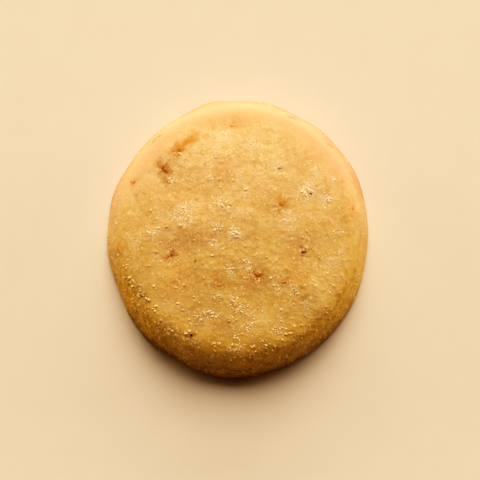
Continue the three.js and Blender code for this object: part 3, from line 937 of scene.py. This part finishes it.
# %% One crystal, and its copies
GRAIN_FLATNESS = 0.72
GRAIN_PROUD = 0.04
PRESSED = 0.34
BLOCK, BLUNT, OUT_OF_TRUE = 1.5, 0.5, 0.09
COATED, LEFT_BARE, LEFT_BARE_NEAR = 0.85, 0.2, 0.5
ALONE_WIDE, ALONE_BELOW = 1.6, 0.2

# The block is larger than life, and is scaled down to each grain's size.
bpy.ops.mesh.primitive_cube_add(size=BLOCK * MM)
model = active()
bpy.ops.object.mode_set(mode="EDIT")
bpy.ops.mesh.bevel(offset=BLUNT * MM, segments=2, affect="EDGES")
bpy.ops.transform.vertex_random(offset=OUT_OF_TRUE * MM, seed=4)
bpy.ops.mesh.select_all(action="DESELECT")
bpy.ops.object.mode_set(mode="OBJECT")

grains = []
for x, y, size, turn in scattered:
    grain = model.copy()
    grain.data = model.data.copy()
    bpy.context.collection.objects.link(grain)
    grain.scale = (size, size * GRAIN_FLATNESS, size * GRAIN_FLATNESS * PRESSED)
    sink(grain, x, y, turn, size * GRAIN_PROUD)
    bare = LEFT_BARE + (LEFT_BARE_NEAR - LEFT_BARE) * ease(-y, 4, 16)
    coat = COATED if clumped(x, y, ALONE_WIDE) < ALONE_BELOW and next(random) > bare else 0.0
    write_values(grain, "coated", [coat] * len(grain.data.vertices))
    grains.append(grain)
coarse = join(grains, "coarse_crystals")
bpy.ops.object.shade_smooth()
print("in all they have", len(coarse.data.polygons), "faces")


# %% [markdown]
# Between them lie finer grains, thousands of them, loose or caked into clumps and strings. They are strewn
# by Geometry Nodes: points are spread over the faces, thickest where clumps were painted, a grain is set
# on each, and the instances are made real so that they are plain mesh. Three kinds are strewn in this way:
# grit and a finer dust over the top, and a thin scatter of grit that stuck to the near wall.

# %% Where grains lie, painted like the dabs
LOOSE, FEW_LOOSE = 0.16, 0.35
ON_RIDGE, ON_WALL, LOW_ALL_ROUND = 0.14, 0.05, 0.25
FEWER_RIGHT, SPOTS_FREE = 0.5, 0.8
FROST_WIDE, FROST_THIN, FROST_RIDGE = 1.3, 0.15, 0.08

x, y, z = places(dough)
loose = LOOSE * dusting(x, y) * (0.5 + 0.9 * strongest(FLOUR)) * ease(z, 4.5, 8)
loose = np.maximum(loose, ON_WALL * ease(-y, -6, 10))
few = np.maximum(FEW_LOOSE * loose, ON_RIDGE * ridge)
right_wall = ease(x, 6, 16) * ease(-y, -2, 6) * ease(-z, -9.4, -8)
left_free = ease(z, 1.5, 4) * (1 - SPOTS_FREE * stained) * (1 - FEWER_RIGHT * right_wall)
write_values(dough, "fine_strewn", np.maximum(clumped(x, y), loose) * left_free)
write_values(dough, "coarse_strewn", np.maximum(clumped(x, y), few) * left_free)

on_wall = ease(-y, 0, 12) * ease(-z, -9.2, -8.2) * ease(z, 0.8, 2.5)
on_wall = on_wall * (1 - FEWER_RIGHT * ease(x, 8, 18))
low_down = LOW_ALL_ROUND * ease(z, 0.8, 2) * ease(-z, -3.6, -2.2)
write_values(dough, "wall_strewn", np.maximum(on_wall, low_down))
frosted = np.maximum(clumped(x, y, FROST_WIDE), FROST_THIN * dusting(x, y))
write_values(dough, "frost", np.maximum(frosted, FROST_RIDGE * ridge) * ease(z, 7.6, 9.1))
print("caked with sugar:", int((frosted > 0.5).sum()), "of", len(x), "vertices")


# %% A few different grains
def grain_kinds(out_of_true):
    """A few different grains, kept in a collection to be drawn from."""
    kinds = bpy.data.collections.new("grain kinds")
    for seed in (1, 2, 3, 4):
        bpy.ops.mesh.primitive_ico_sphere_add(subdivisions=1, radius=1 * MM)
        kind = active()
        bpy.ops.object.mode_set(mode="EDIT")
        bpy.ops.transform.vertex_random(offset=out_of_true * MM, seed=seed)
        bpy.ops.object.mode_set(mode="OBJECT")
        for home in kind.users_collection:
            home.objects.unlink(kind)
        kinds.objects.link(kind)
    return kinds


# %% Strewing them over the dough
GRAIN_TILT = math.radians(20)
GRAIN_NARROW = 0.8
PATCHES = {"From Min": 0.40, "From Max": 0.62, "To Min": 0.15, "To Max": 1.7}
STREWN = [
    # piece, painted where, out of true, grains in a square millimetre, smallest and largest radius,
    # thickness as a share, how wide the thick and thin patches are, seed
    ("fine_grit", "coarse_strewn", 0.45, 7.5, 0.12, 0.32, 0.5, 2.4, 11),
    ("sugar_dust", "fine_strewn", 0.5, 22.0, 0.05, 0.13, 0.5, 1.6, 23),
    ("wall_grit", "wall_strewn", 0.4, 1.2, 0.12, 0.38, 0.55, 1.4, 31),
]


def strew(name, where, out_of_true, each_mm2, small, large, thick, patch_wide, seed):
    """Grains strewn over the dough, as a new piece of plain mesh."""
    kinds = grain_kinds(out_of_true)
    tree, shape, out_node = new_geometry_tree(name)
    place = add(tree, "GeometryNodeInputPosition").outputs[0]
    amount = add(tree, "GeometryNodeInputNamedAttribute", values={"Name": where}).outputs[0]
    lumps = noise(tree, place, patch_wide, 2.0)
    patchy = add(tree, "ShaderNodeMapRange", {"Value": lumps}, PATCHES).outputs[0]
    per_area = times(tree, times(tree, amount, patchy), each_mm2 / MM ** 2)
    points = add(
        tree, "GeometryNodeDistributePointsOnFaces", {"Mesh": shape, "Density": per_area}, {"Seed": seed},
    )
    one_by_one = {"Separate Children": True, "Reset Children": True, "Collection": kinds}
    pick_from = add(tree, "GeometryNodeCollectionInfo", values=one_by_one)
    turns = add(tree, "FunctionNodeRandomValue", data_type="FLOAT_VECTOR")
    turns.inputs[0].default_value = (-GRAIN_TILT, -GRAIN_TILT, 0)
    turns.inputs[1].default_value = (GRAIN_TILT, GRAIN_TILT, math.tau)
    lying = {"Rotation": points.outputs["Rotation"], "Rotate By": turns.outputs[0]}
    lying = add(tree, "FunctionNodeRotateRotation", lying, rotation_space="LOCAL")
    draw = add(tree, "FunctionNodeRandomValue", data_type="FLOAT").outputs[1]
    caked_here = add(tree, "GeometryNodeInputNamedAttribute", values={"Name": where}).outputs[0]
    few_large = times(tree, math_node(tree, "POWER", draw, 2.0), math_node(tree, "ADD", caked_here, 0.4))
    sizes = {"To Min": small, "To Max": large}
    size = add(tree, "ShaderNodeMapRange", {"Value": few_large}, sizes).outputs[0]
    form = (1.0, GRAIN_NARROW, thick)
    flat = add(tree, "ShaderNodeVectorMath", {"Scale": size}, {"Vector": form}, operation="SCALE")
    placed = add(
        tree, "GeometryNodeInstanceOnPoints",
        {
            "Points": points.outputs["Points"], "Instance": pick_from.outputs[0],
            "Rotation": lying.outputs[0], "Scale": flat.outputs[0],
        },
        {"Pick Instance": True},
    )
    real = add(tree, "GeometryNodeRealizeInstances", {"Geometry": placed.outputs[0]})
    tree.links.new(real.outputs[0], out_node.inputs[0])

    bpy.ops.object.select_all(action="DESELECT")
    piece = bpy.data.objects.new(name, dough.data.copy())
    bpy.context.collection.objects.link(piece)
    only(piece)
    finish_with(piece, "NODES", node_group=tree)
    piece.data.materials.clear()
    for kind in list(kinds.objects):
        bpy.data.objects.remove(kind)
    bpy.data.collections.remove(kinds)
    print(name, "has", len(piece.data.polygons), "faces")
    return piece


strewn = [strew(*row) for row in STREWN]
bpy.data.objects.remove(model)


# %% [markdown]
# Crystals of sugar and of hard cheese look cream-white in the light. On the shaded near wall their colour is
# painted over to gold, as painted shade: the colour they show there in shade. They are too small
# for light to be seen inside them, so the surface is plain, with a little gloss for a glint. Those with a
# skin of dough take the colour of the dough.

# %% The crystals' material
SUGAR = colour("#f9e5c2")
CHEESE = colour("#f1d3a0")

glint = {"Roughness": 0.4, "Specular IOR Level": 0.35}
glassy, tree, surface = new_material("sugar and hard cheese crystals", glint)
place = add(tree, "ShaderNodeTexCoord").outputs["Object"]
tone = cover(tree, SUGAR, CHEESE, spread(tree, noise(tree, place, 1.2), 0.35, 0.65))
_, along, up = add(tree, "ShaderNodeSeparateXYZ", {"Vector": place}).outputs
near_side = lower_down(tree, along, 0, -12)
# Painted shade: grains low on the near wall take the gold that they show in shade.
tone = cover(tree, tone, GRAIN_IN_SHADE, near_side, lower_down(tree, up, 9.3, 7.6, 0.8))
tone = cover(tree, tone, GOLD, "coated")
tree.links.new(tone, surface.inputs["Base Color"])
for piece in (coarse, *strewn):
    piece.data.materials.append(glassy)
    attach(piece, "root")
    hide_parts("biscuit")
print("crystals:", len(tree.nodes), "nodes")


# %% [markdown]
# The floor is plain pale paper. The light comes from beyond the far edge, soft, as from a large window with
# a lower one under it: it leaves the near wall in shade and lays the shadow towards the camera. Two weak
# lamps low at the sides and a little warm light from the room keep that shade from going black.

# %% Floor
# It lies a hair below the biscuit, so that the two faces don't fight for the same place.
FLOOR_WIDE = 2000
FLOOR_GAP = 0.02

bpy.ops.mesh.primitive_plane_add(size=FLOOR_WIDE * MM, location=(0, 0, -FLOOR_GAP * MM))
floor = active()
floor.name = "floor"
paper, tree, surface = new_material("pale paper", {"Roughness": 0.9})
place = add(tree, "ShaderNodeTexCoord").outputs["Object"]
tone = blend_in(tree, noise(tree, place, 6.0, 3.0), colour("#eee5d2"), colour("#f2ead9"))
tree.links.new(tone, surface.inputs["Base Color"])
floor.data.materials.append(paper)
floor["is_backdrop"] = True
print("floor:", FLOOR_WIDE, "mm wide")

# %% Light
LAMP_AWAY = 4.0
DAYLIGHT = (1.0, 0.808, 0.644)
LOW_LIGHT = (1.0, 0.79, 0.58)
ROOM_LIGHT = (1.0, 0.45, 0.07, 1.0)
ROOM_BRIGHT = 0.065
LAMPS = [  # name, how high, how far to the right, half width, half height, power, tint
    ("window", 41, 3, 27, 17, 186.0, DAYLIGHT),
    ("low_window", 12, 3, 30, 8, 131.0, DAYLIGHT),
    ("left_fill", 9, -66, 12, 5, 33.0, LOW_LIGHT),
    ("right_fill", 9, 68, 12, 5, 37.0, LOW_LIGHT),
]


def soft_light(name, height, side, wide, high, power, tint):
    """A lamp like a window. From the biscuit it is seen under these angles, in degrees."""
    height, side = math.radians(height), math.radians(side)
    flat = math.cos(height)
    place = Vector((flat * math.sin(side), flat * math.cos(side), math.sin(height))) * LAMP_AWAY
    bpy.ops.object.light_add(type="AREA", location=place)
    lamp = active()
    lamp.name = name
    lamp.rotation_euler = place.to_track_quat("Z", "Y").to_euler()
    lamp.data.shape = "RECTANGLE"
    lamp.data.size = 2 * LAMP_AWAY * flat * math.tan(math.radians(wide))
    lamp.data.size_y = 2 * LAMP_AWAY * math.tan(math.radians(high))
    lamp.data.energy = power
    lamp.data.color = tint


for lamp in LAMPS:
    soft_light(*lamp)
world = bpy.data.worlds.new("room")
world.use_nodes = True
room = world.node_tree.nodes["Background"]
room.inputs["Color"].default_value = ROOM_LIGHT
room.inputs["Strength"].default_value = ROOM_BRIGHT
scene = bpy.context.scene
scene.world = world
print("lamps:", ", ".join(name for name, *_ in LAMPS))


# %% [markdown]
# A camera doesn't record light evenly: its picture is deeper in the shade, richer in colour there, and holds
# back where it is bright. Blender's own looks bend the shade but cut the highlights off. So the view
# gets a curve of its own, an S: a power law in the shade that levels off towards white.

# %% The camera's tone curve
TONE_POWER = 1.6
TONE_KNEE = 0.5
BRIGHTEST = 2.0


def tone_curve(light):
    """Shown brightness for the light that comes in; 1 gives 1."""
    powered = light ** TONE_POWER
    return (1 + TONE_KNEE) * powered / (powered + TONE_KNEE)


view = scene.view_settings
view.view_transform = "Standard"
view.look = "None"
view.use_curve_mapping = True
view.curve_mapping.white_level = (BRIGHTEST, BRIGHTEST, BRIGHTEST)
view.curve_mapping.use_clip = False
all_channels = view.curve_mapping.curves[3].points
shares = (0.0, 0.01, 0.02, 0.05, 0.1, 0.2, 0.35, 0.5, 0.7, 1.0)
while len(all_channels) < len(shares):
    all_channels.new(0.5, 0.5)
for point, share in zip(all_channels, shares):
    point.location = (share, tone_curve(share * BRIGHTEST))
    point.handle_type = "AUTO_CLAMPED"
view.curve_mapping.update()
print("half light is shown as", round(tone_curve(0.5), 2))

# %% The visual box, and finish
low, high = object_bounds()
print("visual box in mm:", [round((b - a) / MM, 2) for a, b in zip(low, high)])
